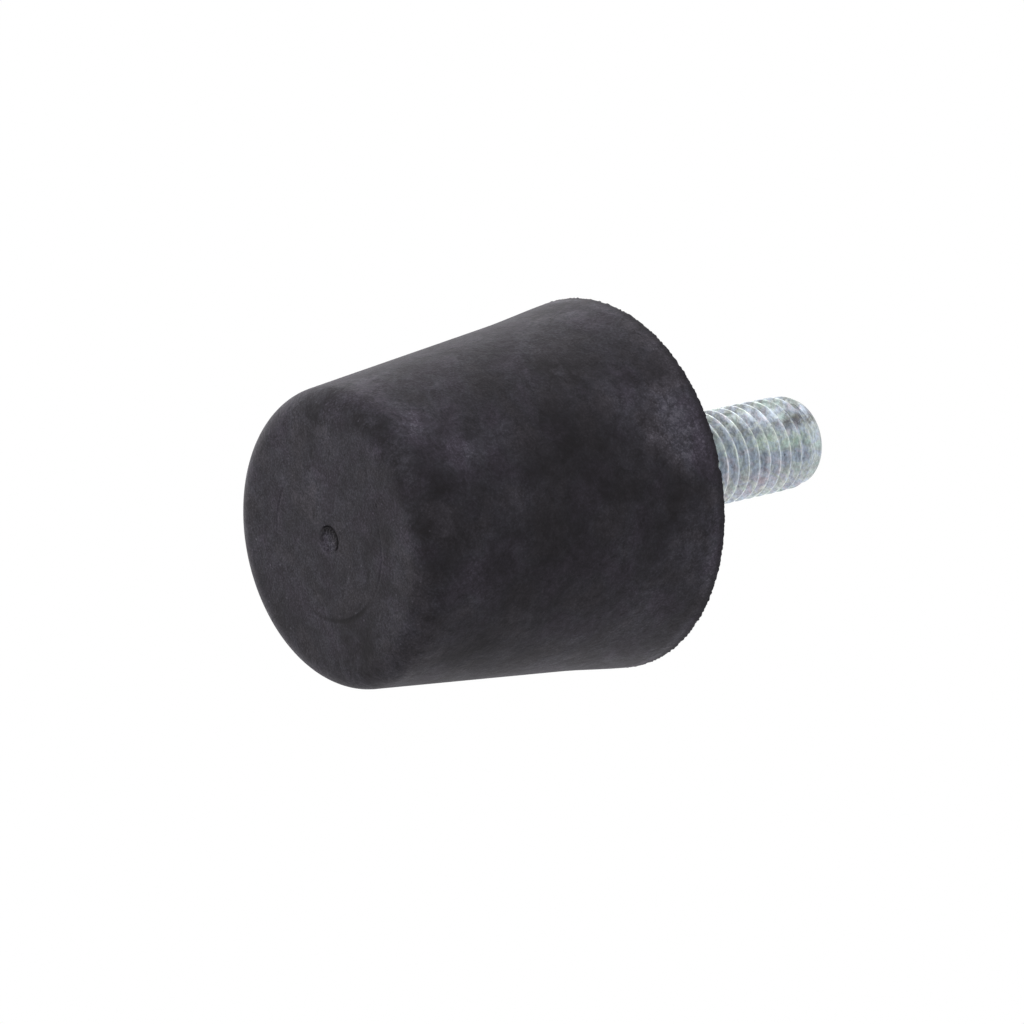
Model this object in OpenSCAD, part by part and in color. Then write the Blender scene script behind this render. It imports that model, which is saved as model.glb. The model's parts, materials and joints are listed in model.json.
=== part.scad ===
// Rubber foot: a tapered rubber block moulded round a steel disc that carries a threaded stud.
// The foot face lies on z = 0, centred on the origin, and the stud points along +Z.

/* [Rubber body] */
// Diameter of the wide end, over its rim
large_d = 38; // [34:0.5:60]
// Diameter of the small end, where the straight wall would meet the floor
small_d = 29.5; // [20:0.5:33]
// Height from the floor to the mounting face
body_h = 35; // [24:0.5:60]
// Radius of the rounding between the foot face and the wall
foot_r = 2.7; // [0.5:0.1:4]
// How far the rim turns out beyond the straight wall
rim_flare = 0.25; // [0:0.05:0.5]
// Height of the band below the rim in which the wall turns out
flare_h = 9; // [3:0.5:12]
// Width of the rubber lip round the edge of the disc
rim_lip = 2; // [1:0.25:3]

/* [Sprue mark] */
// Width of the torn pit that the sprue leaves in the foot face
sprue_d = 2.7; // [1.5:0.1:4]
// Depth of that pit
sprue_depth = 0.3; // [0.2:0.1:0.7]

/* [Steel disc] */
// Thickness of the disc
disc_t = 2; // [1.5:0.5:4]
// Bevel on the edges that are buried in the rubber
buried_bevel = 0.4; // [0.1:0.1:0.8]

/* [Threaded stud] */
// Diameter over the thread's crests
thread_d = 9.9; // [5.9:0.1:12]
// Distance from one crest of the thread to the next
pitch = 1.5; // [1:0.25:1.75]
// Length of the stud beyond the mounting face
stud_l = 28; // [15:1:40]
// Length of the plain neck between the mounting face and the thread
neck_l = 1.2; // [0.5:0.1:3]
// Length of the tapered tip
tip_l = 1.4; // [0.5:0.1:3]
// How far the tip tapers in on each side
tip_drop = 0.5; // [0.2:0.1:1]
// How far the pressed-in collar stands out beyond the thread
collar_step = 1.1; // [0.5:0.1:2]
// How far the head under the disc stands out beyond the collar
head_step = 2; // [1:0.25:3]
// Thickness of that head
head_t = 2.5; // [1.5:0.25:4]

/* [Hidden] */

$fn = 96;
// A cut runs this far past the face that it opens
overcut = 1;
// Steps in the rounding of the foot and in the flare of the rim
foot_steps = 10;
flare_steps = 8;

rim_r = large_d / 2;
disc_r = rim_r - rim_lip;
disc_z = body_h - disc_t;
thread_r = thread_d / 2;
collar_r = thread_r + collar_step;
head_r = collar_r + head_step;
head_z = disc_z - head_t;
tip_z = body_h + stud_l;
neck_z = body_h + neck_l;
// A rolled thread's crests rise 0.3 of a pitch above the blank, and the neck keeps the blank's radius
crest_rise = 0.3 * pitch;
neck_r = thread_r - crest_rise;

// The wall's slope away from the axis, and its radius at a height before the flare is added
wall_slope = (rim_r - rim_flare - small_d / 2) / body_h;
wall_angle = atan(wall_slope);
function wall_r(z) = small_d / 2 + wall_slope * z;

// An S-curve from 0 to 1 that starts and ends level
function ease(t) = t * t * (3 - 2 * t);

// The rounding touches the floor and the wall, so its centre lies one radius inside both
foot_centre = [wall_r(foot_r) - foot_r / cos(wall_angle), foot_r];

// Half of the outer shape, as points of radius and height from the axis round to the rim
function foot_rounding() = [
    for (i = [0 : foot_steps])
        let (turn = -90 + (90 - wall_angle) * i / foot_steps)
            foot_centre + foot_r * [cos(turn), sin(turn)]
];

function rim_curve() = [
    for (i = [0 : flare_steps])
        let (t = i / flare_steps, z = body_h - flare_h * (1 - t))
            [wall_r(z) + rim_flare * ease(t), z]
];

function body_outline() = concat([[0, 0]], foot_rounding(), rim_curve(), [[0, body_h]]);

// Half of the disc, from an inner radius to its edge, with the buried corner bevelled
function disc_outline(inner_r, top_z) = [
    [inner_r, disc_z],
    [disc_r - buried_bevel, disc_z],
    [disc_r, disc_z + buried_bevel],
    [disc_r, top_z],
    [inner_r, top_z]
];

// Half of the stud's head, up to a height at or above the disc's underside
function head_outline(top_z) = [
    [0, head_z],
    [head_r - buried_bevel, head_z],
    [head_r, head_z + buried_bevel],
    [head_r, top_z],
    [0, top_z]
];

// Collar, neck, cylinder over the thread's crests, and tip, from the top of the head outwards
function shank_outline() = [
    [0, disc_z],
    [collar_r, disc_z],
    [collar_r, body_h],
    [neck_r, body_h],
    [neck_r, neck_z],
    [thread_r, neck_z + crest_rise],
    [thread_r, tip_z - tip_l],
    [thread_r - tip_drop, tip_z],
    [0, tip_z]
];

// The pit is a shallow cap of a ball
module sprue_pit() {
    ball_r = (sprue_d * sprue_d / 4 + sprue_depth * sprue_depth) / (2 * sprue_depth);
    translate([0, 0, sprue_depth - ball_r]) sphere(r = ball_r);
}

// The block of rubber, with the space that the disc and the stud's head fill
module rubber_body() {
    color([0.21, 0.20, 0.22])
    difference() {
        rotate_extrude() polygon(body_outline());
        rotate_extrude() polygon(disc_outline(0, body_h + overcut));
        rotate_extrude() polygon(head_outline(disc_z + disc_t / 2));
        sprue_pit();
    }
}

// The disc that the rubber is bonded to, with the hole for the stud's collar
module steel_disc() {
    color([0.70, 0.73, 0.75])
    rotate_extrude() polygon(disc_outline(collar_r, body_h));
}

// The stud, pressed through the disc from the rubber's side
module threaded_stud() {
    color([0.76, 0.79, 0.81])
    rotate_extrude() union() {
        polygon(head_outline(disc_z));
        polygon(shank_outline());
    }
}

rubber_body();
steel_disc();
threaded_stud();
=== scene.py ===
# %% [markdown]
# # A rubber foot with a threaded stud
# The foot is a tapered block of black rubber, moulded round a zinc-plated steel disc. A threaded stud
# stands out of the wide end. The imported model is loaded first, and every size that it knows is read from it,
# so that each piece made here drops into place.

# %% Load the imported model
import json
import math

import bpy
from mathutils import Matrix, Vector


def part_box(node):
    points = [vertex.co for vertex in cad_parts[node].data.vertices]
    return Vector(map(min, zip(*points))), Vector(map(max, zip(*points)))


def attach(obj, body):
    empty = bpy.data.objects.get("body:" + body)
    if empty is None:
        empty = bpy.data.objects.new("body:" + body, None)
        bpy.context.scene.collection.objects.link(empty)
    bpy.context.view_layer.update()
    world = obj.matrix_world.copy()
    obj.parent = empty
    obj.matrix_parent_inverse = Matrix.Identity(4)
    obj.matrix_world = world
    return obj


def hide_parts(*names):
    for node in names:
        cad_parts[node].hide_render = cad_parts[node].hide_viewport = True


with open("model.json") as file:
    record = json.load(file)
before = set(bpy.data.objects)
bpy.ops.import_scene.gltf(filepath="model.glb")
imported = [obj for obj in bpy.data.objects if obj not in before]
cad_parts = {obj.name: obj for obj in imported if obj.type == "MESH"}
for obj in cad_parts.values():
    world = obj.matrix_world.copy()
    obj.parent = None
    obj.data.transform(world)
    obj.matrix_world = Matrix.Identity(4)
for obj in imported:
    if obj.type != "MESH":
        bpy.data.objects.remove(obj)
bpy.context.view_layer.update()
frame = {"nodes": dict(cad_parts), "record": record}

MM = 0.001
block_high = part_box("rubber_body")[1]
disc_low, disc_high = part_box("steel_disc")
stud_low, stud_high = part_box("threaded_stud")
mounts = {mount["name"]: mount for mount in frame["record"]["mounts"]}

RIM_R = block_high.x
BLOCK_H = block_high.z
DISC_R = disc_high.x
DISC_Z = disc_low.z
HEAD_R = stud_high.x
HEAD_Z = stud_low.z
TIP_Z = stud_high.z
CREST_R = mounts["stud"]["dims"]["r_mm"] * MM
print("rim radius", RIM_R, "height", BLOCK_H, "stud tip", TIP_Z)

# %% [markdown]
# The camera looks at the small foot face from below and from the side, as in the photograph, so it stands
# lower than the floor and is rolled until the stud points right. A long lens far away keeps the taper's
# outline as straight as it is there.

# %% Camera
VIEW_ELEVATION = math.radians(39.803)
VIEW_AZIMUTH = math.radians(0.145)
VIEW_ROLL = math.radians(77.575)
VIEW_DISTANCE = 515.45 * MM
VIEW_AIM = Vector((1.003, 0.756, 24.090)) * MM
LENS_MM = 180.91
SENSOR_MM = 36
NEAREST_SEEN = 10 * MM
FARTHEST_SEEN = 10

forward = Vector((
    math.sin(VIEW_AZIMUTH) * math.cos(VIEW_ELEVATION),
    math.cos(VIEW_AZIMUTH) * math.cos(VIEW_ELEVATION),
    math.sin(VIEW_ELEVATION),
))
level_right = forward.cross(Vector((0, 0, 1))).normalized()
level_up = level_right.cross(forward)
right = level_right * math.cos(VIEW_ROLL) + level_up * math.sin(VIEW_ROLL)
up = right.cross(forward)

bpy.ops.object.select_all(action="DESELECT")
bpy.ops.object.camera_add(location=VIEW_AIM - forward * VIEW_DISTANCE)
camera = bpy.context.object
camera.name = "view_camera"
camera.rotation_euler = Matrix((right, up, -forward)).transposed().to_euler()
camera.data.lens = LENS_MM
camera.data.sensor_width = SENSOR_MM
camera.data.clip_start = NEAREST_SEEN
camera.data.clip_end = FARTHEST_SEEN
bpy.context.scene.camera = camera
print("camera at", tuple(round(c, 3) for c in camera.location))

# %% [markdown]
# ## The block of rubber
# Such a foot is compression-moulded: raw rubber is pressed round the disc in a tapered cavity. A cone with
# bevelled edges would give its shape, but a turned outline also gives close rings of points where the rubber
# is torn or ragged. The outline repeats the solid's own sizes. It starts with the wall and its foot rounding.

# %% Wall and foot rounding
SMALL_R = 14.75 * MM
FOOT_R = 2.7 * MM
FOOT_STEPS = 14
RIM_FLARE = 0.25 * MM
FLARE_H = 9 * MM

wall_slope = (RIM_R - RIM_FLARE - SMALL_R) / BLOCK_H
wall_angle = math.atan(wall_slope)


def wall_r(height):
    """Radius of the moulded wall at a height, with the flare of the rim."""
    share = max(0.0, (height - (BLOCK_H - FLARE_H)) / FLARE_H)
    return SMALL_R + wall_slope * height + RIM_FLARE * share * share * (3 - 2 * share)


def foot_rounding(steps):
    """The arc between the foot face and the wall."""
    centre_r = SMALL_R + wall_slope * FOOT_R - FOOT_R / math.cos(wall_angle)
    start, end = -math.pi / 2, -wall_angle
    turns = [start + (end - start) * i / steps for i in range(steps + 1)]
    return [(centre_r + FOOT_R * math.cos(t), FOOT_R + FOOT_R * math.sin(t)) for t in turns]


arc_part = foot_rounding(FOOT_STEPS)
print("the wall leans out by", round(math.degrees(wall_angle), 2), "degrees")

# %% [markdown]
# The foot face keeps the faint ring of the mould's insert and a torn pit where the sprue was pulled off. Both
# are only some tenths of a millimetre deep, so the rings of points lie close together there, and far apart
# where the rubber is plain.

# %% Rings over the foot face and the wall
POLE_R = 0.06 * MM
SPRUE_STEP = 0.06 * MM
SPRUE_RINGS = 30
# Where the insert's ring lies, and the distance between two rings of points there, in mm
RING_ZONE = (7.2, 8.7)
RING_ZONE_STEP = 0.1
FACE_STEP = 1.2 * MM
WALL_STEP = 1.5 * MM
RIM_ZONE = 0.6 * MM

sprue_part = [(POLE_R + SPRUE_STEP * i, 0.0) for i in range(SPRUE_RINGS)]
face_end = arc_part[0][0]
zone_low, zone_high = RING_ZONE
zone_rows = round((zone_high - zone_low) / RING_ZONE_STEP)
face_part = [((zone_low + RING_ZONE_STEP * i) * MM, 0.0) for i in range(zone_rows + 1)]
face_r = sprue_part[-1][0] + FACE_STEP
while face_r < face_end - FACE_STEP / 2:
    if not zone_low * MM - FACE_STEP / 2 < face_r < zone_high * MM + FACE_STEP / 2:
        face_part.append((face_r, 0.0))
    face_r += FACE_STEP
face_part.sort()

wall_low = arc_part[-1][1]
wall_high = BLOCK_H - RIM_ZONE
wall_rows = round((wall_high - wall_low) / WALL_STEP)
wall_step = (wall_high - wall_low) / wall_rows
wall_heights = [wall_low + wall_step * i for i in range(1, wall_rows + 1)]
wall_part = [(wall_r(height), height) for height in wall_heights]
print("rings on the foot face:", len(sprue_part + face_part), "and up the wall:", len(wall_part))

# %% [markdown]
# At the wide end the mould parts, which leaves a thin ragged flash on the rim, and a film of rubber creeps
# over the edge of the disc. Inside, the outline follows the pocket that the disc and the stud's head fill.

# %% Rings over the rim and in the pocket
# Heights of the flash's rows below the rim, in mm
FLASH_ROWS = (0.40, 0.25, 0.12)
FLASH_EASE = 0.12 * MM
LIP_ROW = 0.8 * MM
FILM_ROW = 0.3 * MM
FILM_H = 0.06 * MM
FILM_REACH = 0.55 * MM
FILM_EASE = 0.04 * MM
BURIED_BEVEL = 0.4 * MM

film_r = DISC_R - FILM_REACH
film_z = BLOCK_H + FILM_H
rim_part = [(wall_r(BLOCK_H - row * MM), BLOCK_H - row * MM) for row in FLASH_ROWS]
rim_part += [
    (RIM_R, BLOCK_H),
    (RIM_R - FLASH_EASE, film_z),
    (RIM_R - LIP_ROW, film_z),
    (DISC_R + FILM_ROW, film_z),
    (film_r, film_z),
    (film_r - FILM_EASE, BLOCK_H - FILM_EASE / 2),
    (DISC_R, BLOCK_H - FILM_EASE),
]
pocket_part = [
    (DISC_R, DISC_Z + BURIED_BEVEL),
    (DISC_R - BURIED_BEVEL, DISC_Z),
    (HEAD_R, DISC_Z),
    (HEAD_R, HEAD_Z + BURIED_BEVEL),
    (HEAD_R - BURIED_BEVEL, HEAD_Z),
    (POLE_R, HEAD_Z),
]
block_outline = sprue_part + face_part + arc_part + wall_part + rim_part + pocket_part
print("rings in the block's outline:", len(block_outline))

# %% [markdown]
# Round pieces are drawn here the way a lathe hand thinks of them: one ring of points is added, and each
# further ring is extruded from the last and scaled to its own radius. That gives clean loops to work on where
# a piece is torn or ragged. There are many points round the axis, because the flash has teeth only half a
# millimetre apart.

# %% Turn the block
BLOCK_POINTS = 720
SAME_PLACE = 0.001 * MM


def select_points(piece, rule):
    """Selects, in edit mode, the points whose place satisfies a rule."""
    bpy.ops.mesh.select_mode(type="VERT")
    bpy.ops.mesh.select_all(action="DESELECT")
    bpy.ops.object.mode_set(mode="OBJECT")
    for vertex in piece.data.vertices:
        vertex.select = bool(rule(vertex.co))
    bpy.ops.object.mode_set(mode="EDIT")


def extrude_rings(outline):
    """Extrudes the selected ring along (radius, height) pairs and closes the last one at the axis."""
    for (radius, height), (new_radius, new_height) in zip(outline, outline[1:]):
        bpy.ops.mesh.extrude_region_move(TRANSFORM_OT_translate={"value": (0, 0, new_height - height)})
        share = new_radius / radius
        bpy.ops.transform.resize(value=(share, share, 1), center_override=(0, 0, new_height))
    bpy.ops.mesh.merge(type="CENTER")


def lathe(name, points, outline):
    """Turns an outline of (radius, height) pairs into a closed round piece, from one pole to the other."""
    first_radius, first_height = outline[0]
    bpy.ops.object.select_all(action="DESELECT")
    bpy.ops.mesh.primitive_circle_add(vertices=points, radius=first_radius, location=(0, 0, first_height))
    piece = bpy.context.object
    piece.name = name
    bpy.ops.object.transform_apply(location=True, rotation=False, scale=False)
    bpy.ops.object.mode_set(mode="EDIT")
    bpy.ops.mesh.select_all(action="SELECT")
    extrude_rings(outline)
    widest = first_radius + SAME_PLACE
    select_points(piece, lambda p: p.to_2d().length < widest and abs(p.z - first_height) < SAME_PLACE)
    bpy.ops.mesh.merge(type="CENTER")
    bpy.ops.mesh.select_all(action="SELECT")
    bpy.ops.mesh.normals_make_consistent(inside=False)
    bpy.ops.object.mode_set(mode="OBJECT")
    return piece


block = lathe("rubber_block", BLOCK_POINTS, block_outline)
print("points in the block:", len(block.data.vertices))

# %% [markdown]
# Now each mark gets a group of points, weighted from 0 to 1. By hand that is weight painting. Here a rule
# works out each weight from the point's place, so the marks lie exactly where the photograph shows them.
# First come the marks on the foot face: the torn pit, a tear round one side of it, and the insert's ring.

# %% Marks on the foot face
FACE_NEAR = 0.03 * MM
SPRUE_R = 1.35 * MM
SPRUE_EDGE = 0.25 * MM
PIT_SHIFT = Vector((0.15, 0.10)) * MM
CRACK_TURN = math.radians(-118)
CRACK_SPAN = math.radians(82)
CRACK_FADE = math.radians(12)
CRACK_WIDTH = 0.12 * MM
CRACK_LEAST = 0.05
RING_MARK_R = 7.95 * MM
RING_MARK_SHIFT = Vector((-0.10, -0.10)) * MM
RING_MARK_WIDTH = 0.17 * MM
RING_MARK_LEAST = 0.1
# Arcs where the ring is clearest: direction and half the span in degrees, and strength
RING_MARK_ARCS = ((-68, 40, 0.8), (8, 40, 0.6), (128, 30, 0.7))


def turn_from(point, middle):
    """How far a point lies round the axis from a direction, without a sign."""
    return abs((math.atan2(point.y, point.x) - middle + math.pi) % (2 * math.pi) - math.pi)


def in_sprue(point):
    """Full weight inside the torn pit, none outside it."""
    if point.z > FACE_NEAR:
        return 0.0
    return max(0.0, min(1.0, (SPRUE_R - (point.to_2d() + PIT_SHIFT).length) / SPRUE_EDGE))


def in_crack(point):
    """A narrow tear round one side of the pit."""
    if point.z > FACE_NEAR:
        return 0.0
    off_ring = abs((point.to_2d() + PIT_SHIFT).length - SPRUE_R) / CRACK_WIDTH
    side = min(1.0, max(CRACK_LEAST, (CRACK_SPAN - turn_from(point, CRACK_TURN)) / CRACK_FADE))
    return max(0.0, 1 - off_ring * off_ring) * side


def on_ring_mark(point):
    """The ring left by the mould's insert, a little off the middle."""
    off_ring = ((point.to_2d() - RING_MARK_SHIFT).length - RING_MARK_R) / RING_MARK_WIDTH
    if point.z > FACE_NEAR or abs(off_ring) > 1:
        return 0.0
    clear = RING_MARK_LEAST
    for middle, half_span, strength in RING_MARK_ARCS:
        clear += strength * max(0.0, 1 - turn_from(point, math.radians(middle)) / math.radians(half_span))
    return (1 - off_ring * off_ring) * min(1.0, clear)


print("points of the torn pit:", sum(in_sprue(vertex.co) > 0 for vertex in block.data.vertices))

# %% [markdown]
# The marks at the wide end are the flash, one notch where a crumb of it broke away, and the inner edge of the
# film, which feathers out on the disc.

# %% Marks on the rim and the film
RIM_NEAR_H = 0.3 * MM
RIM_NEAR_R = 0.25 * MM
NOTCH_TURN = math.radians(-87)
NOTCH_HALF = 0.45 * MM
FILM_FRINGE = 0.3 * MM


def on_rim(point):
    """The flash edge and the row on either side of it."""
    near_height = max(0.0, 1 - abs(point.z - BLOCK_H) / RIM_NEAR_H)
    near_radius = max(0.0, 1 - abs(point.to_2d().length - RIM_R) / RIM_NEAR_R)
    return near_height * near_radius


def at_notch(point):
    """One place on the rim where a crumb of the flash is gone."""
    off = turn_from(point, NOTCH_TURN) * RIM_R / NOTCH_HALF
    return on_rim(point) * max(0.0, 1 - off * off)


def on_film(point):
    """The feathered inner edge of the film that covers the disc's edge."""
    near_edge = max(0.0, 1 - abs(point.to_2d().length - film_r) / FILM_FRINGE)
    return near_edge if point.z > BLOCK_H - FACE_NEAR else 0.0


print("points of the ragged rim:", sum(on_rim(vertex.co) > 0 for vertex in block.data.vertices))

# %% [markdown]
# The Displace modifier shapes the marks in two ways. Without a texture it presses a group straight in. With
# a cloud texture it pushes the points in and out, as a hand would with a displace brush. All the groups are
# made first, while the points still lie where the outline put them.

# %% Press and roughen the marks
BLOCK_CREASE = math.radians(35)
MARKS = {
    "crack": in_crack, "sprue": in_sprue, "ring_mark": on_ring_mark,
    "rim": on_rim, "notch": at_notch, "film": on_film,
}
# Depths in mm, in the order in which the dents are pressed
DENTS = {"sprue": 0.07, "crack": 0.26, "ring_mark": 0.06, "notch": 0.28}
# Group, size and height of the clouds in mm, direction, and the shade of cloud that stays in place
ROUGH_PARTS = (
    ("sprue", 0.28, 0.36, "NORMAL", 0.50),
    ("rim", 0.34, 0.24, "NORMAL", 0.56),
    ("film", 1.6, 0.9, "X", 0.50),
)


def weigh_points(piece, name, weight):
    """Makes a vertex group whose weights a rule works out from each point's place."""
    group = piece.vertex_groups.new(name=name)
    for vertex in piece.data.vertices:
        share = weight(vertex.co)
        if share > 0:
            group.add([vertex.index], min(share, 1.0), "REPLACE")


def press(piece, group, depth):
    """Pushes the points of a group straight in by a depth."""
    dent = piece.modifiers.new("dent", "DISPLACE")
    dent.vertex_group = group
    dent.strength = -depth
    dent.mid_level = 0
    bpy.ops.object.modifier_apply(modifier=dent.name)


def roughen(piece, group, grain, height, direction, middle):
    """Pushes the points of a group in and out by a cloud pattern of a given grain and height."""
    texture = bpy.data.textures.new(group + "_cloud", "CLOUDS")
    texture.noise_scale = grain
    texture.noise_depth = 1
    push = piece.modifiers.new("push", "DISPLACE")
    push.texture = texture
    push.texture_coords = "LOCAL"
    push.vertex_group = group
    push.direction = direction
    push.strength = height
    push.mid_level = middle
    bpy.ops.object.modifier_apply(modifier=push.name)


for group, rule in MARKS.items():
    weigh_points(block, group, rule)
for group, depth in DENTS.items():
    press(block, group, depth * MM)
for group, grain, height, direction, middle in ROUGH_PARTS:
    roughen(block, group, grain * MM, height * MM, direction, middle)
bpy.ops.object.shade_smooth_by_angle(angle=BLOCK_CREASE)
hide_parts("rubber_body")
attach(block, "root")
print("triangles in the block:", sum(len(p.vertices) - 2 for p in block.data.polygons))

# %% [markdown]
# ## The stud
# The thread is rolled, not cut: two dies press the valleys into a plain blank, and the crests rise from it.
# It is a right-hand M10 thread with a pitch of 1.5 mm. One pitch of its profile is drawn, and the Screw
# modifier winds it up the axis, which is the quickest way to an exact helix.

# %% Profile of one pitch of thread
PITCH = 1.5 * MM
THREAD_DEPTH = 0.6 * PITCH
CREST_FLAT = 0.15 * MM
CREST_EASE = 0.03 * MM
FLANK_ROW = 0.45 * MM
ROOT_FILLET = 0.14 * MM
ROOT_ROW = 0.04 * MM
ROOT_ROW_SHARE = 0.55
FLANK = math.tan(math.radians(30))

root_r = CREST_R - THREAD_DEPTH
half_pitch = PITCH / 2
half_crest = CREST_FLAT / 2
root_half = half_pitch - half_crest - (THREAD_DEPTH - ROOT_FILLET) * FLANK
half_profile = [
    (root_r, -half_pitch),
    (root_r + ROOT_ROW, -half_pitch + root_half * ROOT_ROW_SHARE),
    (root_r + ROOT_FILLET, -half_pitch + root_half),
    (CREST_R - FLANK_ROW, -half_crest - FLANK_ROW * FLANK),
    (CREST_R - CREST_EASE, -half_crest - CREST_EASE * FLANK),
    (CREST_R, -half_crest + CREST_EASE * 0.6),
]
profile = half_profile + [(r, -z) for r, z in reversed(half_profile)]
print("points in the thread's profile:", len(profile))

# %% [markdown]
# A first point is added and extruded along the profile. Four more turns than needed are wound, and two flat
# cuts bring the thread to its length. A cut leaves a point that lies within its threshold of the plane where
# it is. Both ends have to be flat rings before they can be closed, so that threshold is set far below the
# usual 0.1 mm.

# %% Wind the thread
# Height of a crest above the mounting face on the +X side, read from the photograph's crest lines
CREST_PHASE = 0.745 * MM
THREAD_POINTS = 144
SPARE_TURNS = 2
MERGE_NEAR = 0.001 * MM
CUT_LOW = BLOCK_H + 0.3 * MM
CUT_HIGH = TIP_Z - 0.12 * MM
CUT_SLACK = 0.0001 * MM

turns = math.ceil((TIP_Z - BLOCK_H) / PITCH) + 2 * SPARE_TURNS
thread_start = BLOCK_H + CREST_PHASE - SPARE_TURNS * PITCH - PITCH

bpy.ops.object.select_all(action="DESELECT")
bpy.ops.mesh.primitive_plane_add(size=PITCH, location=(0, 0, 0))
stud = bpy.context.object
stud.name = "threaded_stud_rolled"
bpy.ops.object.mode_set(mode="EDIT")
bpy.ops.mesh.select_all(action="SELECT")
bpy.ops.mesh.merge(type="CENTER")
first_r, first_z = profile[0]
bpy.ops.transform.translate(value=(first_r, 0, thread_start + first_z))
for (r, z), (new_r, new_z) in zip(profile, profile[1:]):
    bpy.ops.mesh.extrude_region_move(TRANSFORM_OT_translate={"value": (new_r - r, 0, new_z - z)})
bpy.ops.object.mode_set(mode="OBJECT")
winding = stud.modifiers.new("winding", "SCREW")
winding.axis = "Z"
winding.screw_offset = PITCH
winding.iterations = turns
winding.steps = THREAD_POINTS
winding.render_steps = THREAD_POINTS
winding.use_merge_vertices = True
winding.merge_threshold = MERGE_NEAR
bpy.ops.object.modifier_apply(modifier=winding.name)
bpy.ops.object.mode_set(mode="EDIT")
bpy.ops.mesh.select_all(action="SELECT")
bpy.ops.mesh.remove_doubles(threshold=2 * MERGE_NEAR)
for cut_z, from_below in ((CUT_LOW, True), (CUT_HIGH, False)):
    bpy.ops.mesh.select_all(action="SELECT")
    bpy.ops.mesh.bisect(
        plane_co=(0, 0, cut_z), plane_no=(0, 0, 1), clear_inner=from_below, clear_outer=not from_below,
        threshold=CUT_SLACK,
    )
bpy.ops.object.mode_set(mode="OBJECT")
print("thread faces:", len(stud.data.polygons))

# %% [markdown]
# The dies can't raise a crest beyond the blank, whose tip is tapered, and they fade out before the collar.
# So every point of the thread is pressed back between two outlines: the most and the least radius that the
# metal has at each height. Where both are the same, the stud is plain and round.

# %% Press the thread to the blank
NECK_H = 1.2 * MM
NECK_R = CREST_R - 0.3 * PITCH
CREST_RUNOUT = 0.3 * PITCH
ROOT_RUNOUT = 0.5 * PITCH
TIP_DROP = 0.5 * MM
END_EASE = 0.02 * MM
# The crests' fall inside their cylinder and the valleys' rise over the tip's radius, each with its distance
# below the tip, in mm
CREST_FALLS = ((0.0, 4.2), (0.04, 2.4), (0.07, 1.4), (0.24, 0.6))
ROOT_RISES = ((0.0, 1.4), (0.16, 0.5))
TIP_FADE = 3.6 * MM

tip_r = CREST_R - TIP_DROP
end_r = tip_r - END_EASE
neck_z = BLOCK_H + NECK_H
neck_part = [(NECK_R, CUT_LOW), (NECK_R, neck_z)]
most_outline = neck_part + [(CREST_R, neck_z + CREST_RUNOUT)]
most_outline += [(CREST_R - fall * MM, TIP_Z - below * MM) for fall, below in CREST_FALLS]
most_outline += [(end_r, CUT_HIGH)]
least_outline = neck_part + [(root_r, neck_z + ROOT_RUNOUT), (root_r, TIP_Z - TIP_FADE)]
least_outline += [(tip_r + rise * MM, TIP_Z - below * MM) for rise, below in ROOT_RISES]
least_outline += [(end_r, CUT_HIGH)]


def outline_r(outline, height):
    """Radius of an outline at a height, on the straight line between two of its points."""
    for (low_r, low_z), (high_r, high_z) in zip(outline, outline[1:]):
        if height <= high_z:
            share = max(0.0, (height - low_z) / (high_z - low_z))
            return low_r + (high_r - low_r) * share
    return outline[-1][0]


pressed = 0
for vertex in stud.data.vertices:
    radius = vertex.co.to_2d().length
    most = outline_r(most_outline, vertex.co.z)
    least = outline_r(least_outline, vertex.co.z)
    share = min(max(radius, least), most) / radius
    vertex.co.x *= share
    vertex.co.y *= share
    pressed += share != 1
print("points pressed back:", pressed, "of", len(stud.data.vertices))

# %% [markdown]
# Both open ends are round now. The upper one is closed with an eased edge. The lower one is extruded down
# through the neck, the collar that is pressed into the disc, and the head that the rubber grips.

# %% Ends, collar and head of the stud
STUD_CREASE = math.radians(22)
COLLAR_STEP = 1.1 * MM
COLLAR_EASE = 0.12 * MM
NECK_FILLET = 0.15 * MM
# Steps of the eased edge: inwards from the tip's radius, and down from the tip, in mm
TIP_EDGE = ((0.09, 0.03), (0.20, 0.0))

collar_r = CREST_R + COLLAR_STEP
upper_end = [(end_r, CUT_HIGH)] + [(tip_r - inwards * MM, TIP_Z - down * MM) for inwards, down in TIP_EDGE]
lower_end = [
    (NECK_R, CUT_LOW),
    (NECK_R, BLOCK_H + NECK_FILLET),
    (NECK_R + NECK_FILLET, BLOCK_H),
    (collar_r - COLLAR_EASE, BLOCK_H),
    (collar_r, BLOCK_H - COLLAR_EASE),
    (collar_r, DISC_Z),
    (HEAD_R, DISC_Z),
    (HEAD_R, HEAD_Z + BURIED_BEVEL),
    (HEAD_R - BURIED_BEVEL, HEAD_Z),
    (POLE_R, HEAD_Z),
]

bpy.ops.object.mode_set(mode="EDIT")
for outline in (upper_end, lower_end):
    cut_z = outline[0][1]
    select_points(stud, lambda p: abs(p.z - cut_z) < 2 * CUT_SLACK)
    extrude_rings(outline)
bpy.ops.mesh.select_all(action="SELECT")
bpy.ops.mesh.normals_make_consistent(inside=False)
bpy.ops.mesh.select_all(action="DESELECT")
bpy.ops.mesh.select_non_manifold()
bpy.ops.object.mode_set(mode="OBJECT")
print("open edges of the stud:", sum(edge.select for edge in stud.data.edges))
bpy.ops.object.shade_smooth_by_angle(angle=STUD_CREASE)
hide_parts("threaded_stud")
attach(stud, "root")
stud_zs = [vertex.co.z for vertex in stud.data.vertices]
print("stud faces:", len(stud.data.polygons), "from", min(stud_zs), "to", max(stud_zs))

# %% [markdown]
# ## Finishes
# Every material is built from nodes that read the piece's own coordinates, so that the patterns stay on
# the surface when the foot is turned. Colours are written as sRGB hex and turned to linear in one place.

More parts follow.
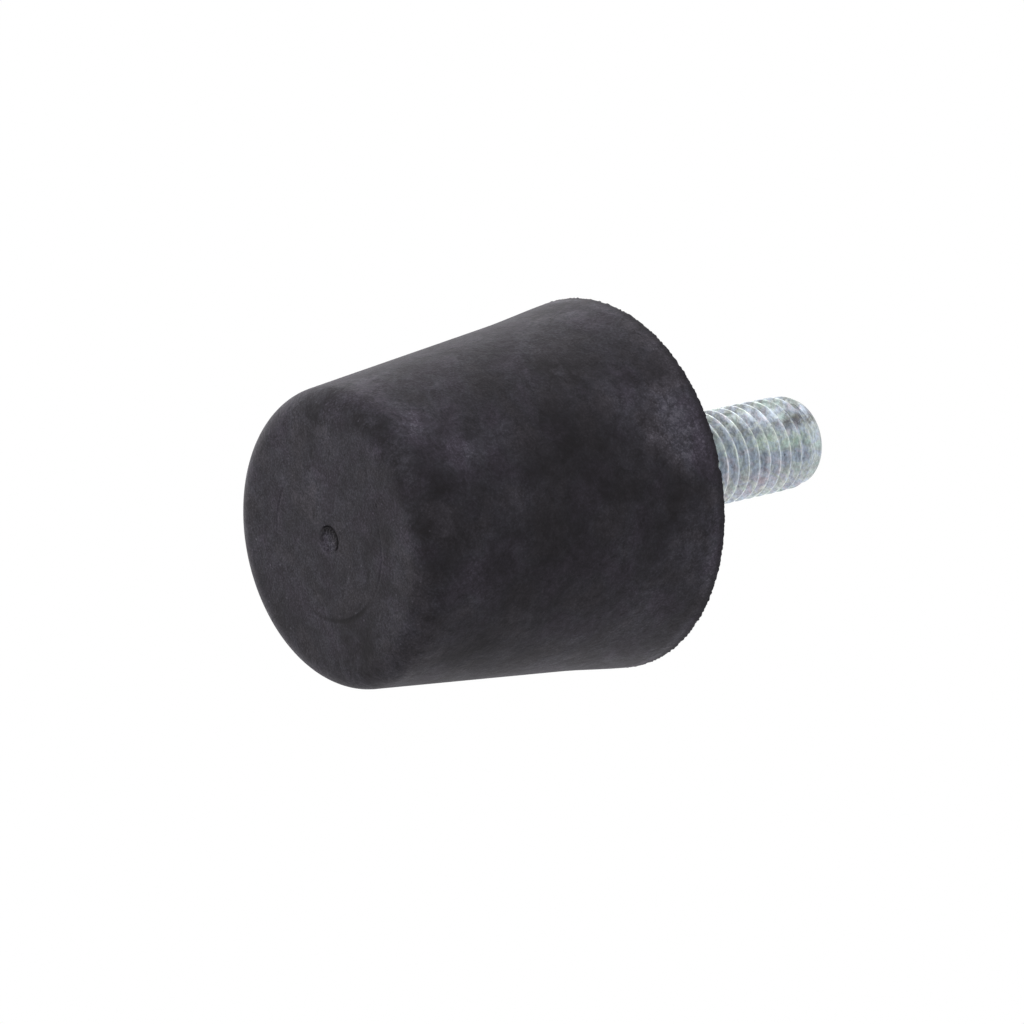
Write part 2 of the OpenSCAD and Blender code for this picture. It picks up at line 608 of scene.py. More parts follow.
# %% Helpers for materials
def colour(hex_code):
    """Linear RGBA of an sRGB hex colour."""
    channels = [int(hex_code[i:i + 2], 16) / 255 for i in (1, 3, 5)]
    return tuple(c / 12.92 if c <= 0.04045 else ((c + 0.055) / 1.055) ** 2.4 for c in channels) + (1.0,)


def add_node(tree, kind, inputs=None, **settings):
    """Adds a node of a kind, sets its properties, and fills or links its inputs."""
    node = tree.nodes.new("ShaderNode" + kind)
    for name, value in settings.items():
        setattr(node, name, value)
    for socket, value in (inputs or {}).items():
        if isinstance(value, bpy.types.NodeSocket):
            tree.links.new(value, node.inputs[socket])
        else:
            node.inputs[socket].default_value = value
    return node


def tint_ramp(ramp, tints):
    """Gives a colour ramp its stops, from pairs of position and sRGB hex."""
    first, last = ramp.elements
    first.position, first.color = tints[0][0], colour(tints[0][1])
    last.position, last.color = tints[-1][0], colour(tints[-1][1])
    for position, tint in tints[1:-1]:
        ramp.elements.new(position).color = colour(tint)


def new_material(name):
    """An empty node material: its tree, its Principled shader and its object coordinates."""
    material = bpy.data.materials.new(name)
    material.use_nodes = True
    tree = material.node_tree
    shader = tree.nodes["Principled BSDF"]
    place = add_node(tree, "TexCoord").outputs["Object"]
    return material, tree, shader, place


def give(piece, material):
    """Puts one material on the whole piece."""
    piece.data.materials.clear()
    piece.data.materials.append(material)
    print(material.name, "on", piece.name, "with", len(material.node_tree.nodes), "nodes")


print("mid grey in linear light:", round(colour("#808080")[0], 3))

# %% [markdown]
# ### Vulcanised rubber with bloom
# Carbon-black rubber comes out of a steel mould almost black and matt. In storage, wax and sulphur bloom to
# the surface as a thin grey powder, and handling wipes it into clouds. So the colour goes from charcoal to a
# dusty grey with a breath of violet. Noise of three sizes drives it: clouds of wiped bloom, flow marks about
# a millimetre long, and specks. Larger patches, pale or dark, are set by their place on the foot, and a few
# of the dark ones are painted shade.

# %% Rubber colours and sizes
CHARCOAL = "#1d1b1d"
BLOOM_TINTS = ((0.38, "#56505d"), (0.50, "#53515b"), (0.62, "#555159"))
BLOOM_THICK = "#827f8a"
SHEEN_TINT = "#ddd6e8"
TINT_MM = 4.5
CLOUD_MM = 6.0
SCUFF_MM = 1.1
DUST_MM = 0.9
# The powder's specks and the mould's blasted grain are finer on a real foot. They are drawn this coarse so
# that they show in the picture.
SPECK_MM = 0.24
GRAIN_MM = 0.20

# Place in mm, radius in mm, and how much bloom a patch adds or lacks
BLOOM_AND_SHADE_PATCHES = (
    ((-2.9, -17.9, 30.5), 2.7, 0.50),
    ((-6.3, -17.3, 31.8), 2.7, 0.50),
    ((-1.0, -18.4, 32.6), 2.3, 0.42),
    ((2.2, -18.1, 30.6), 2.6, -0.08),
    ((-7.3, -16.3, 27.5), 3.6, 0.28),
    ((7.3, -16.8, 31.0), 3.0, 0.20),
    ((10.9, -15.2, 34.4), 2.2, 0.26),
    ((14.1, -11.0, 27.4), 3.6, 0.16),
    ((-13.6, -6.0, 3.4), 2.8, 0.24),
    ((-9.3, -12.0, 3.6), 2.4, 0.38),
    ((-5.8, -14.5, 7.4), 2.8, 0.34),
    ((-6.6, -14.8, 12.2), 2.4, 0.24),
    ((-1.0, -16.0, 12.4), 3.2, 0.26),
    ((4.8, -13.4, -0.4), 1.6, 0.20),
    ((-5.1, -13.6, 0.2), 1.5, 0.14),
    ((7.7, -13.4, 5.7), 2.4, 0.16),
    ((-12.0, -12.5, 22.4), 2.6, -0.22),
    ((-4.2, -17.0, 24.4), 3.2, -0.18),
    ((-6.6, -15.6, 18.6), 3.4, -0.16),
    ((0.4, -17.2, 22.0), 4.4, -0.14),
    ((0.6, -17.8, 27.0), 2.2, -0.08),
    ((-6.0, -15.3, 15.8), 2.0, 0.10),
    ((-7.4, -14.4, 13.0), 2.2, -0.12),
    ((0.4, -16.4, 14.0), 6.0, -0.10),
    ((4.6, -15.9, 15.4), 4.0, -0.08),
    ((1.3, -14.5, -0.6), 2.2, -0.24),
    ((-11.4, -9.8, 1.6), 1.8, 0.20),
    ((-9.0, -11.9, 0.6), 2.0, -0.18),
    ((-10.6, -9.4, -0.4), 2.0, -0.14),
    ((-5.8, -13.2, -0.6), 1.8, -0.12),
    ((5.0, -7.4, 0.0), 1.6, -0.20),
    ((0.8, -6.6, 0.0), 2.4, -0.12),
    ((-16.6, -7.8, 30.2), 3.6, 0.12),
    ((-12.2, -14.2, 34.8), 1.6, 0.24),
    ((9.6, -15.8, 32.6), 2.6, 0.12),
    ((17.4, -4.0, 28.0), 3.6, 0.12),
    ((4.4, -17.6, 29.6), 2.6, -0.12),
    # This patch, the next one and the one at (4.6, -14.2, 1.8) paint the shade on the wall just behind the
    # foot rounding.
    ((1.9, -15.0, 4.2), 2.4, -0.13),
    ((-2.6, -14.7, 2.4), 2.4, -0.15),
    ((9.4, -13.0, 11.6), 4.2, -0.12),
    ((13.2, -8.4, 7.6), 3.6, -0.16),
    # This patch paints shade over the foot rounding, which dims the front lamp's highlight there.
    ((-14.2, -3.2, -0.8), 2.8, -0.22),
    ((9.9, -1.6, 0.0), 3.6, -0.24),
    ((2.2, -3.6, 0.0), 2.6, -0.10),
    # Painted shade on the wall just behind the foot rounding.
    ((4.6, -14.2, 1.8), 2.6, -0.13),
    ((11.0, -9.4, 0.2), 1.6, 0.14),
    ((-5.2, 0.6, 0.0), 2.0, 0.18),
    ((-9.4, -3.4, 0.0), 2.6, 0.16),
    ((-7.5, 9.4, 0.0), 2.4, 0.12),
    ((3.6, -10.0, 0.1), 2.2, 0.10),
)
print("patches of bloom:", len(BLOOM_AND_SHADE_PATCHES))

# %% [markdown]
# Each patch adds its share with one Map Range node on the distance from its middle. That alone would look
# like a disc, so the place from which the distance is taken is bent by the cloud noise.

# %% Rubber: where the bloom and the painted shade lie
SWAY = 9 * MM
PATCH_SPREAD = 1.4
LEAST_BLOOM = 0.03


def add_bloom_and_shade(lying, where, middle, inner, outer, amount, fade):
    """Adds bloom round a middle, or with a minus amount darkens the rubber there: all of an amount within one
    radius and none beyond another, in mm.
    """
    away = add_node(tree, "VectorMath", {0: where, 1: Vector(middle) * MM}, operation="DISTANCE")
    part = add_node(tree, "MapRange", {
        "Value": away.outputs["Value"], "From Min": inner * MM, "From Max": outer * MM,
        "To Min": amount, "To Max": 0.0,
    }, interpolation_type=fade)
    return add_node(tree, "Math", {0: lying, 1: part.outputs["Result"]}).outputs["Value"]


rubber, tree, shader, place = new_material("vulcanised_rubber_with_bloom")
clouds = add_node(tree, "TexNoise", {
    "Vector": place, "Scale": 1 / (CLOUD_MM * MM), "Detail": 6, "Roughness": 0.66, "Distortion": 0.3,
})
sway = add_node(tree, "VectorMath", {0: clouds.outputs["Color"], 1: (-0.5, -0.5, -0.5)}, operation="ADD")
bent_place = add_node(tree, "VectorMath", {
    0: sway.outputs["Vector"], 1: (SWAY, SWAY, SWAY), 2: place,
}, operation="MULTIPLY_ADD")
bloom = add_node(tree, "MapRange", {
    "Value": clouds.outputs["Fac"], "From Min": 0.36, "From Max": 0.66, "To Min": 0.12, "To Max": 0.33,
})
lying = bloom.outputs["Result"]
bent = bent_place.outputs["Vector"]
for middle, radius, amount in BLOOM_AND_SHADE_PATCHES:
    lying = add_bloom_and_shade(lying, bent, middle, 0, radius * PATCH_SPREAD, amount, "SMOOTHSTEP")
lying = add_node(tree, "Math", {0: lying, 1: LEAST_BLOOM}, operation="MAXIMUM").outputs["Value"]
print("nodes for the clouds and patches:", len(tree.nodes))

# %% [markdown]
# The torn pit is painted bare and dark right across and a little past its edge, and its crumbs, a little off
# its middle, are pale, so the dark stays as a crescent along the tear: painted shadow in the pit's edge. Near
# the insert's ring on the +X side, a darker line is painted in its groove: painted shade.

# %% Rubber: torn pit and ring, with painted shadow and shade
# Middle, inner and outer radius in mm, and how much bloom the place adds or lacks
PIT_SHADOW_AND_CRUMBS = (
    # Painted shadow: the pit darker across and just past its edge, left by the crumbs below as a crescent
    # along the tear.
    ((-0.15, -0.10, 0.0), 1.25, 1.55, -0.20),
    ((0.15, 0.22, 0.0), 0.70, 1.45, 0.45),
)
# Where the groove of the insert's ring gets a painted darker line: painted shade, fading out from this middle.
GROOVE_SHADE_MIDDLE = Vector((7.6, 0.2, 0)) * MM
GROOVE_SHADE_LACK = -0.13

for middle, inner, outer, amount in PIT_SHADOW_AND_CRUMBS:
    lying = add_bloom_and_shade(lying, place, middle, inner, outer, amount, "LINEAR")

from_middle = add_node(tree, "VectorMath", {0: place, 1: RING_MARK_SHIFT.to_3d()}, operation="DISTANCE")
off_ring = add_node(tree, "Math", {0: from_middle.outputs["Value"], 1: RING_MARK_R}, operation="SUBTRACT")
off_ring_size = add_node(tree, "Math", {0: off_ring.outputs["Value"]}, operation="ABSOLUTE")
in_groove = add_node(tree, "MapRange", {
    "Value": off_ring_size.outputs["Value"], "From Min": 0.10 * MM, "From Max": 0.34 * MM,
    "To Min": GROOVE_SHADE_LACK, "To Max": 0.0,
})
groove_shade_away = add_node(tree, "VectorMath", {0: place, 1: GROOVE_SHADE_MIDDLE}, operation="DISTANCE")
groove_shade_near = add_node(tree, "MapRange", {
    "Value": groove_shade_away.outputs["Value"], "From Min": 3 * MM, "From Max": 6.5 * MM,
    "To Min": 1.0, "To Max": 0.0,
})
lying = add_node(tree, "Math", {
    0: in_groove.outputs["Result"], 1: groove_shade_near.outputs["Result"], 2: lying,
}, operation="MULTIPLY_ADD").outputs["Value"]
print("nodes with the pit and the ring:", len(tree.nodes))

# %% [markdown]
# The rim is rubbed clean by every hand and bench, and a pale line just below it is a painted highlight in the
# flare.
# The foot face has stood on dusty shelves, so its specks are stronger than the wall's. The fine noise
# multiplies what clouds and patches leave: a rubbed place is dark and even, and a dusty one is speckled.

# %% Rubber: rim, painted highlight in the flare, scuffs and specks
height = add_node(tree, "SeparateXYZ", {"Vector": place}).outputs["Z"]
# A pale line painted just below the rim, where the flare turns out to the front lamp: a painted highlight.
flare_highlight = add_node(tree, "MapRange", {
    "Value": height, "From Min": BLOCK_H - 2.2 * MM, "From Max": BLOCK_H - 1.1 * MM, "To Max": 0.16,
}, interpolation_type="SMOOTHSTEP")
rim_rubbed = add_node(tree, "MapRange", {
    "Value": height, "From Min": BLOCK_H - 0.9 * MM, "From Max": BLOCK_H - 0.4 * MM,
    "To Min": 1.0, "To Max": 0.50,
})
face_share = add_node(tree, "MapRange", {
    "Value": height, "From Min": 0.3 * MM, "From Max": 2.5 * MM, "To Min": 1.4, "To Max": 1.0,
})
scuffs = add_node(tree, "TexNoise", {
    "Vector": place, "Scale": 1 / (SCUFF_MM * MM), "Detail": 4, "Roughness": 0.7, "Distortion": 0.5,
})
specks = add_node(tree, "TexNoise", {
    "Vector": place, "Scale": 1 / (SPECK_MM * MM), "Detail": 2, "Roughness": 0.7,
})
scuff_share = add_node(tree, "MapRange", {
    "Value": scuffs.outputs["Fac"], "From Min": 0.36, "From Max": 0.68, "To Min": 0.62, "To Max": 1.56,
}, clamp=False)
speck_share = add_node(tree, "MapRange", {
    "Value": specks.outputs["Fac"], "From Min": 0.46, "From Max": 0.70, "To Min": -0.10, "To Max": 0.80,
})
speck_part = add_node(tree, "Math", {
    0: speck_share.outputs["Result"], 1: face_share.outputs["Result"], 2: scuff_share.outputs["Result"],
}, operation="MULTIPLY_ADD")
with_flare_highlight = add_node(tree, "Math", {0: lying, 1: flare_highlight.outputs["Result"]})
rubbed = add_node(tree, "Math", {
    0: with_flare_highlight.outputs["Value"], 1: rim_rubbed.outputs["Result"],
}, operation="MULTIPLY")
speckled = add_node(tree, "Math", {
    0: rubbed.outputs["Value"], 1: speck_part.outputs["Value"],
}, operation="MULTIPLY")
print("nodes with the specks:", len(tree.nodes))

# %% [markdown]
# Grains of dust lie about a millimetre apart, mostly on the foot face. A Voronoi texture gives each its own
# cell, and the cell's random colour picks the few that hold one. Where bloom and dust lie thick, the powder
# hides the rubber and turns paler still.

# %% Rubber: dust, and how thick the powder lies
def scattered_spots(tree, place, apart_mm, inner, outer, strength, picked):
    """Spots in a picked share of a Voronoi texture's cells, each fading out from its middle."""
    cells = add_node(tree, "TexVoronoi", {"Vector": place, "Scale": 1 / (apart_mm * MM)})
    near = add_node(tree, "MapRange", {
        "Value": cells.outputs["Distance"], "From Min": inner, "From Max": outer,
        "To Min": strength, "To Max": 0.0,
    })
    kind = add_node(tree, "SeparateColor", {"Color": cells.outputs["Color"]})
    some = add_node(tree, "Math", {0: kind.outputs["Red"], 1: picked}, operation="LESS_THAN")
    return add_node(tree, "Math", {
        0: near.outputs["Result"], 1: some.outputs["Value"],
    }, operation="MULTIPLY").outputs["Value"]


dust = scattered_spots(tree, place, DUST_MM, inner=0.06, outer=0.15, strength=0.45, picked=0.35)
dust_settles = add_node(tree, "MapRange", {
    "Value": height, "From Min": 0.3 * MM, "From Max": 2.5 * MM, "To Min": 1.0, "To Max": 0.2,
})
lies_thick = add_node(tree, "Math", {
    0: dust, 1: dust_settles.outputs["Result"], 2: speckled.outputs["Value"],
}, operation="MULTIPLY_ADD").outputs["Value"]
# This share carries the bloom together with the painted shade, shadow and highlight laid in above.
bloom_with_painted_light = add_node(tree, "MapRange", {"Value": lies_thick}).outputs["Result"]
thick_share = add_node(tree, "MapRange", {
    "Value": lies_thick, "From Min": 0.8, "From Max": 1.7, "To Max": 0.6,
})
print("nodes with the dust:", len(tree.nodes))

# %% [markdown]
# The bloom's grains scatter light in all directions, and at a low angle they also carry it further than the
# bare rubber does, so the bloom is given the lower roughness here. Its tint drifts a little from place to
# place, as wax and sulphur come up in different shares.

# %% Rubber: colour and gloss
BARE_ROUGHNESS = 0.76
BLOOM_ROUGHNESS = 0.58

tint_drift = add_node(tree, "TexNoise", {
    "Vector": place, "Scale": 1 / (TINT_MM * MM), "Detail": 2, "Roughness": 0.5,
})
bloom_tint = add_node(tree, "ValToRGB", {"Fac": tint_drift.outputs["Fac"]})
tint_ramp(bloom_tint.color_ramp, BLOOM_TINTS)
tone = add_node(tree, "Mix", {
    0: bloom_with_painted_light, 6: colour(CHARCOAL), 7: bloom_tint.outputs["Color"],
}, data_type="RGBA")
powdery = add_node(tree, "Mix", {
    0: thick_share.outputs["Result"], 6: tone.outputs[2], 7: colour(BLOOM_THICK),
}, data_type="RGBA")
tree.links.new(powdery.outputs[2], shader.inputs["Base Color"])
gloss = add_node(tree, "MapRange", {
    "Value": bloom_with_painted_light, "To Min": BARE_ROUGHNESS, "To Max": BLOOM_ROUGHNESS,
})
tree.links.new(gloss.outputs["Result"], shader.inputs["Roughness"])
shader.inputs["IOR"].default_value = 1.52
shader.inputs["Specular IOR Level"].default_value = 0.13
shader.inputs["Sheen Weight"].default_value = 0.05
shader.inputs["Sheen Roughness"].default_value = 0.5
shader.inputs["Sheen Tint"].default_value = colour(SHEEN_TINT)
print("tints in the bloom:", len(BLOOM_TINTS))

# %% [markdown]
# Two bump nodes add the grain of the mould's blasted steel and the shallow flow marks. A third makes one
# burst bubble near the ring. They are chained through their Normal sockets, so each bends the last one's
# surface further.

# %% Rubber: bumps
GRAIN_DEPTH = 0.03 * MM
SCUFF_DEPTH = 0.14 * MM
BUBBLE_DEPTH = 0.12 * MM
BUBBLE_PLACE = Vector((-2.4, -8.6, 0.0)) * MM

grain = add_node(tree, "TexNoise", {
    "Vector": place, "Scale": 1 / (GRAIN_MM * MM), "Detail": 3, "Roughness": 0.6,
})
grain_bump = add_node(tree, "Bump", {
    "Strength": 0.6, "Distance": GRAIN_DEPTH, "Height": grain.outputs["Fac"],
})
scuff_bump = add_node(tree, "Bump", {
    "Strength": 0.7, "Distance": SCUFF_DEPTH, "Height": scuffs.outputs["Fac"],
    "Normal": grain_bump.outputs["Normal"],
})
bubble_away = add_node(tree, "VectorMath", {0: place, 1: BUBBLE_PLACE}, operation="DISTANCE")
bubble_wall = add_node(tree, "MapRange", {
    "Value": bubble_away.outputs["Value"], "From Min": 0.10 * MM, "From Max": 0.24 * MM,
}, interpolation_type="SMOOTHSTEP")
bubble_bump = add_node(tree, "Bump", {
    "Strength": 1.0, "Distance": BUBBLE_DEPTH, "Height": bubble_wall.outputs["Result"],
    "Normal": scuff_bump.outputs["Normal"],
})
tree.links.new(bubble_bump.outputs["Normal"], shader.inputs["Normal"])
give(block, rubber)

# %% [markdown]
# ### Zinc plate
# Bright zinc with a clear passivation film is a cool pale grey that drifts towards green, blue and pink as
# the film's thickness changes. The rolled crests are polished, and painted lighter than the duller, darker
# valleys: a painted highlight. Dull streaks lie along the stud, and a few pale ones: some are partly stain and
# partly painted reflection, and others are painted shade and painted light.

# %% Zinc colours and sizes
ZINC_CREST_HIGHLIGHT = "#dfe5e3"
ZINC_FLANK = "#cbd1d5"
ZINC_STAIN = "#8c9195"
PIT_DARK = "#63676a"
FILM_TINTS = ((0.34, "#e3efe9"), (0.44, "#f0f1ec"), (0.53, "#e1e8f4"), (0.64, "#f0e8ee"))
STAIN_MM = 1.5
PIT_APART_MM = 1.1
# Plated steel is grained more finely than this, which is as coarse as it needs to be to show in the picture
ZINC_GRAIN_MM = 0.18

# Streaks along the stud: direction round the axis, width, lower and upper height in mm, strength, colour
STREAKS = (
    # The streaks at -116, -118 and -128 degrees are dark and brownish: partly stain, partly a painted dark
    # reflection.
    (-116, 1.0, 56.0, 65.0, 0.85, "#6b6562"),
    (-118, 1.0, 46.0, 57.0, 0.55, "#7d7874"),
    # Painted shade on the tip's edge at -142 degrees, which dulls its reflection of the white world.
    (-142, 2.4, 60.0, 65.0, 0.70, "#7b7e80"),
    (-128, 1.3, 36.0, 50.0, 0.45, "#7d7874"),
    # Painted shade along the side at -160 degrees, which faces the top back lamp and dulls its reflections.
    (-160, 3.6, 30.0, 70.0, 0.95, "#8c8e8e"),
    # Painted light along the side at -36 degrees, the stud's lower side as the camera sees it, with a pink
    # tint.
    (-36, 2.4, 34.0, 64.0, 0.60, "#dad0d3"),
    (-94, 1.1, 50.0, 64.0, 0.60, "#e8f2e4"),
)
print("streaks on the stud:", len(STREAKS))

# %% [markdown]
# The zinc is laid up in the order in which it came about: the plate with its stains, then on the stud the
# streaks with their painted shade and light and the crests' painted highlight, then the tinted film over all
# of it, and last the pits and the grain. Each layer is a function that takes the colour so far and gives back
# the colour with its own layer on top.

# %% Zinc: stained plate and tinted film
def stained_plate(tree, stains, stain_most):
    """Plain zinc with duller stains where a noise is high."""
    stain_share = add_node(tree, "MapRange", {
        "Value": stains.outputs["Fac"], "From Min": 0.46, "From Max": 0.74, "To Max": stain_most,
    })
    return add_node(tree, "Mix", {
        0: stain_share.outputs["Result"], 6: colour(ZINC_FLANK), 7: colour(ZINC_STAIN),
    }, data_type="RGBA").outputs[2]


def tinted_film(tree, drift, film_share, level):
    """The film multiplies the metal's colour by a tint that drifts with its thickness."""
    tints = add_node(tree, "ValToRGB", {"Fac": drift.outputs["Fac"]})
    tint_ramp(tints.color_ramp, FILM_TINTS)
    return add_node(tree, "Mix", {
        0: film_share, 6: level, 7: tints.outputs["Color"],
    }, data_type="RGBA", blend_type="MULTIPLY").outputs[2]


print("tints in the film:", len(FILM_TINTS))

# %% [markdown]
# Each streak is a long soft ball round a point on the thread: the place is squeezed by the streak's width and
# length, and its distance from the middle fades the streak out. The crests are found by their distance from
# the axis and painted lighter, a painted highlight that is weaker towards the tip and where the stain noise is
# high.

# %% Zinc: streaks with painted shade and light, and the painted highlight on the crests
STREAK_R = 0.93 * CREST_R
CREST_BAND = 0.07 * MM


def streaks_stain_and_painted_light(tree, place, stains, level):
    """Lays the streaks over a colour, broken up by the stain noise: stain, painted shade and painted light."""
    patchy = add_node(tree, "MapRange", {
        "Value": stains.outputs["Fac"], "From Min": 0.40, "From Max": 0.58, "To Min": 0.3, "To Max": 1.0,
    })
    for turn, width, low, high, strength, tint in STREAKS:
        angle = math.radians(turn)
        middle = Vector((math.cos(angle) * STREAK_R, math.sin(angle) * STREAK_R, (low + high) / 2 * MM))
        from_middle = add_node(tree, "VectorMath", {0: place, 1: middle}, operation="SUBTRACT")
        squeezed = add_node(tree, "VectorMath", {
            0: from_middle.outputs["Vector"],
            1: (1 / (width * MM), 1 / (width * MM), 2 / ((high - low) * MM)),
        }, operation="MULTIPLY")
        away = add_node(tree, "VectorMath", {0: squeezed.outputs["Vector"]}, operation="LENGTH")
        near = add_node(tree, "MapRange", {
            "Value": away.outputs["Value"], "From Min": 0.35, "From Max": 1.15,
            "To Min": strength, "To Max": 0.0,
        }, interpolation_type="SMOOTHSTEP")
        share = add_node(tree, "Math", {
            0: near.outputs["Result"], 1: patchy.outputs["Result"],
        }, operation="MULTIPLY")
        level = add_node(tree, "Mix", {
            0: share.outputs["Value"], 6: level, 7: colour(tint),
        }, data_type="RGBA").outputs[2]
    return level


def crest_painted_highlight(tree, place, stains, level):
    """Lays the painted highlight of the crests over a colour."""
    flat = add_node(tree, "VectorMath", {0: place, 1: (1, 1, 0)}, operation="MULTIPLY")
    radius = add_node(tree, "VectorMath", {0: flat.outputs["Vector"]}, operation="LENGTH")
    rise = add_node(tree, "MapRange", {
        "Value": radius.outputs["Value"], "From Min": CREST_R - CREST_BAND, "From Max": CREST_R,
    })
    height = add_node(tree, "SeparateXYZ", {"Vector": place}).outputs["Z"]
    below_tip = add_node(tree, "MapRange", {
        "Value": height, "From Min": TIP_Z - 5 * MM, "From Max": TIP_Z - 2.5 * MM,
        "To Min": 1.0, "To Max": 0.15,
    })
    worn = add_node(tree, "MapRange", {
        "Value": stains.outputs["Fac"], "From Min": 0.38, "From Max": 0.60, "To Min": 1.0, "To Max": 0.45,
    })
    crest_highlight = add_node(tree, "Math", {
        0: rise.outputs["Result"], 1: below_tip.outputs["Result"],
    }, operation="MULTIPLY")
    shining = add_node(tree, "Math", {
        0: crest_highlight.outputs["Value"], 1: worn.outputs["Result"],
    }, operation="MULTIPLY")
    # The crests' painted highlight, weaker towards the tip and where the stains lie.
    return add_node(tree, "Mix", {
        0: shining.outputs["Value"], 6: level, 7: colour(ZINC_CREST_HIGHLIGHT),
    }, data_type="RGBA").outputs[2]


print("streaks lie", round(STREAK_R / MM, 2), "mm from the axis")

# %% [markdown]
# Small pits are scattered as the dust is. The grain is drawn out round the axis, the way the dies rubbed it.
# Faces that lie level were pressed or sheared flat, so it hardly shows there.

# %% Zinc: pits and grain
LEVEL_TONE = 0.96


def small_pits(tree, place, level):
    """Lays small dark pits over a colour."""
    pits = scattered_spots(tree, place, PIT_APART_MM, inner=0.03, outer=0.16, strength=0.8, picked=0.4)
    return add_node(tree, "Mix", {0: pits, 6: level, 7: colour(PIT_DARK)}, data_type="RGBA").outputs[2]


def grained(tree, fine, grain_least, level):
    """Scales a colour by the fine grain, less so on level faces."""
    grain = add_node(tree, "MapRange", {
        "Value": fine.outputs["Fac"], "From Min": 0.37, "From Max": 0.63,
        "To Min": grain_least, "To Max": 1.22,
    })
    facing = add_node(tree, "NewGeometry").outputs["True Normal"]
    tilt = add_node(tree, "VectorMath", {0: facing, 1: (0, 0, 1)}, operation="DOT_PRODUCT")
    level_face = add_node(tree, "MapRange", {
        "Value": tilt.outputs["Value"], "From Min": 0.85, "From Max": 0.98, "To Max": 0.75,
    })
    grain_there = add_node(tree, "Mix", {
        0: level_face.outputs["Result"], 2: grain.outputs["Result"], 3: LEVEL_TONE,
    }, data_type="FLOAT")
    return add_node(tree, "VectorMath", {
        0: level, "Scale": grain_there.outputs[0],
    }, operation="SCALE").outputs["Vector"]


print("tone of a level face against the plain colour:", LEVEL_TONE)

# %% [markdown]
# One function puts the layers together for both pieces. The stud was rolled, so its finish changes within a
# millimetre or two and is grained all round. The disc was punched from plated sheet and lies flat, so it is
# calmer and its film hardly tinted.

# %% Zinc: both materials
ZINC_BUMP = 0.02 * MM
DRIFT_BUMP = 0.05 * MM


def zinc_material(name, threaded, drift_mm, stain_most, grain_least, film_share):
    """Passivated zinc plate, with polished crests and rubbed streaks where it lies on the thread."""
    material, tree, shader, place = new_material(name)
    along = add_node(tree, "VectorMath", {0: place, 1: (1, 1, 0.45)}, operation="MULTIPLY")
    drift = add_node(tree, "TexNoise", {
        "Vector": along.outputs["Vector"], "Scale": 1 / (drift_mm * MM), "Detail": 3, "Roughness": 0.6,
        "Distortion": 0.5,
    })
    stains = add_node(tree, "TexNoise", {
        "Vector": place, "Scale": 1 / (STAIN_MM * MM), "Detail": 4, "Roughness": 0.7, "Distortion": 0.5,
    })
    round_about = add_node(tree, "VectorMath", {0: place, 1: (0.3, 0.3, 1.2)}, operation="MULTIPLY")
    fine = add_node(tree, "TexNoise", {
        "Vector": round_about.outputs["Vector"], "Scale": 1 / (ZINC_GRAIN_MM * MM), "Detail": 3,
        "Roughness": 0.7,
    })
    level = stained_plate(tree, stains, stain_most)
    if threaded:
        level = streaks_stain_and_painted_light(tree, place, stains, level)
        level = crest_painted_highlight(tree, place, stains, level)
    level = tinted_film(tree, drift, film_share, level)
    level = small_pits(tree, place, level)
    tree.links.new(grained(tree, fine, grain_least, level), shader.inputs["Base Color"])
    gloss = add_node(tree, "MapRange", {
        "Value": fine.outputs["Fac"], "From Min": 0.3, "From Max": 0.7, "To Min": 0.38, "To Max": 0.54,
    })
    tree.links.new(gloss.outputs["Result"], shader.inputs["Roughness"])
    grain_bump = add_node(tree, "Bump", {
        "Strength": 0.6, "Distance": ZINC_BUMP, "Height": fine.outputs["Fac"],
    })
    drift_bump = add_node(tree, "Bump", {
        "Strength": 0.5, "Distance": DRIFT_BUMP, "Height": drift.outputs["Fac"],
        "Normal": grain_bump.outputs["Normal"],
    })
    tree.links.new(drift_bump.outputs["Normal"], shader.inputs["Normal"])
    shader.inputs["Metallic"].default_value = 1.0
    return material


give(stud, zinc_material(
    "zinc_plated_rolled_thread", threaded=True,
    drift_mm=1.3, stain_most=0.60, grain_least=0.68, film_share=1.0,
))
give(frame["nodes"]["steel_disc"], zinc_material(
    "zinc_plated_punched_disc", threaded=False,
    drift_mm=4.0, stain_most=0.35, grain_least=0.92, film_share=0.35,
))

# %% [markdown]
# ## Floor, world and lamps
# The camera stands below the floor, so the floor is one-sided: it shows only from above, with the foot's
# shadow on it, and lets every other ray through.

# %% Floor
FLOOR_SIZE = 4.0
FLOOR_DROP = 0.05 * MM
FLOOR_PALE = "#ececec"

bpy.ops.object.select_all(action="DESELECT")
bpy.ops.mesh.primitive_plane_add(size=FLOOR_SIZE, location=(0, 0, -FLOOR_DROP))
floor = bpy.context.object
floor.name = "studio_floor"
floor_paint, tree, shader, place = new_material("pale_floor_seen_from_above")
shader.inputs["Base Color"].default_value = colour(FLOOR_PALE)
shader.inputs["Roughness"].default_value = 0.9
side = add_node(tree, "NewGeometry").outputs["Backfacing"]
seen = add_node(tree, "LightPath").outputs["Is Camera Ray"]
from_above = add_node(tree, "Math", {0: 1.0, 1: side}, operation="SUBTRACT")
shows = add_node(tree, "Math", {0: from_above.outputs["Value"], 1: seen}, operation="MULTIPLY")
clear = add_node(tree, "BsdfTransparent")
blend = add_node(tree, "MixShader", {
    0: shows.outputs["Value"], 1: clear.outputs["BSDF"], 2: shader.outputs["BSDF"],
})
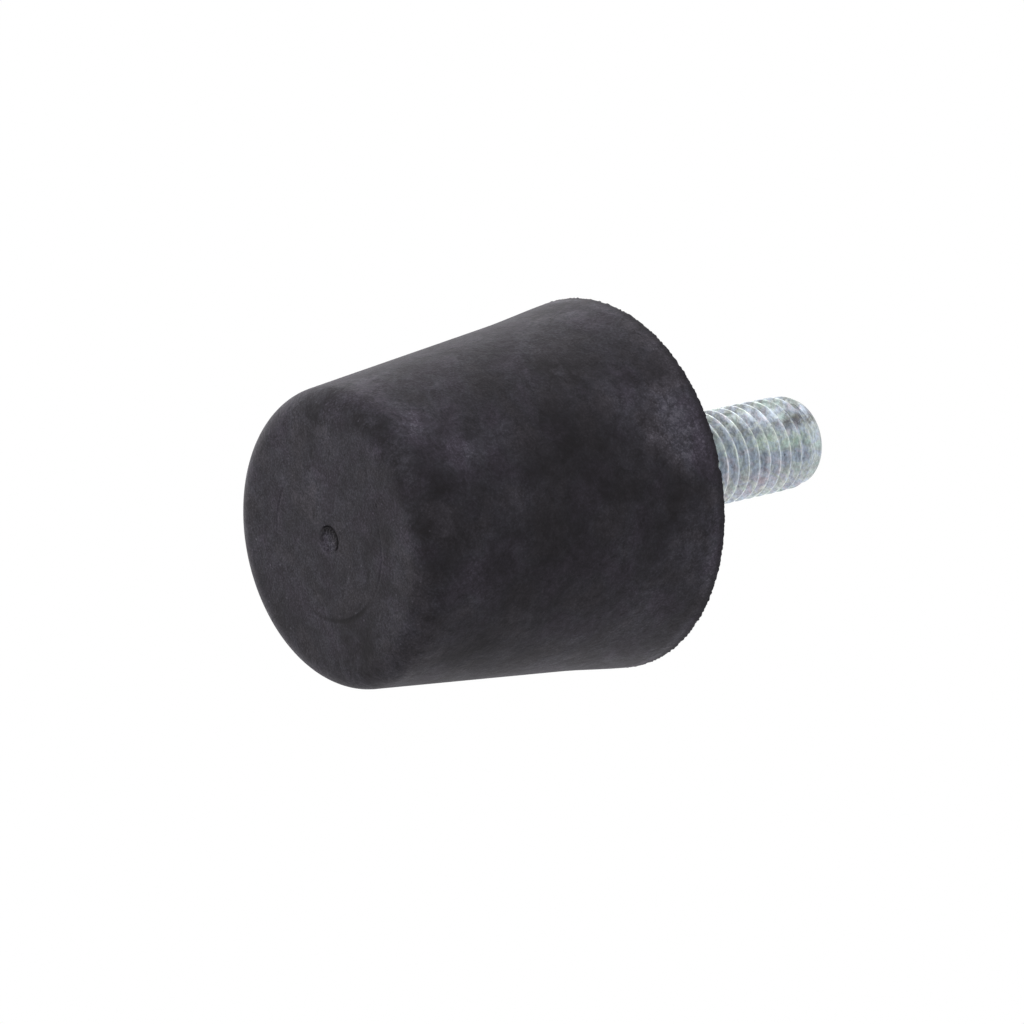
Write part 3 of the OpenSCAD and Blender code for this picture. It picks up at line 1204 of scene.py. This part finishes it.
tree.links.new(blend.outputs["Shader"], tree.nodes["Material Output"].inputs["Surface"])
give(floor, floor_paint)

# %% [markdown]
# The world is plain white to the camera and in reflections, as a product photograph's background is. A softer
# level of it lights the object, so that the lamps can shape the dark rubber.

# %% World
FILL_LEVEL = 0.5

world = bpy.data.worlds.new("white_studio")
bpy.context.scene.world = world
world.use_nodes = True
tree = world.node_tree
sky = tree.nodes["Background"]
path = add_node(tree, "LightPath")
white_rays = add_node(tree, "Math", {
    0: path.outputs["Is Camera Ray"], 1: path.outputs["Is Glossy Ray"],
}, operation="MAXIMUM")
strength = add_node(tree, "MapRange", {
    "Value": white_rays.outputs["Value"], "To Min": FILL_LEVEL, "To Max": 1.0,
})
sky.inputs["Color"].default_value = (1, 1, 1, 1)
tree.links.new(strength.outputs["Result"], sky.inputs["Strength"])
print("world", world.name, "with fill level", FILL_LEVEL)

# %% [markdown]
# The photograph's light is a tent of soft lamps. Three stand behind the foot as the camera sees it: above, on
# the left, and in the corner between. They draw the bright edges of the dark rubber. One in front lights the
# foot face and the clouds of bloom, and a weak one from behind and below edges the lower side.

# %% Lamps
LAMP_DISTANCE = 0.6
LAMP_SIZE = 0.5
LAMPS = (
    ("front_left_lamp", up - right - forward, 1.7),
    ("top_back_lamp", up + forward, 1.5),
    ("left_back_lamp", forward - right, 1.4),
    ("corner_back_lamp", up - right + forward, 1.0),
    ("low_back_lamp", forward - up, 0.6),
)

for name, direction, power in LAMPS:
    away = direction.normalized()
    bpy.ops.object.select_all(action="DESELECT")
    bpy.ops.object.light_add(type="AREA", location=Vector((0, 0, BLOCK_H / 2)) + away * LAMP_DISTANCE)
    lamp = bpy.context.object
    lamp.name = name
    lamp.rotation_euler = away.to_track_quat("Z", "Y").to_euler()
    lamp.data.size = LAMP_SIZE
    lamp.data.energy = power
print("lamps:", len(LAMPS), "with", round(sum(power for name, direction, power in LAMPS), 1), "watts in all")

bpy.context.scene.view_settings.view_transform = "Standard"
bpy.context.view_layer.update()
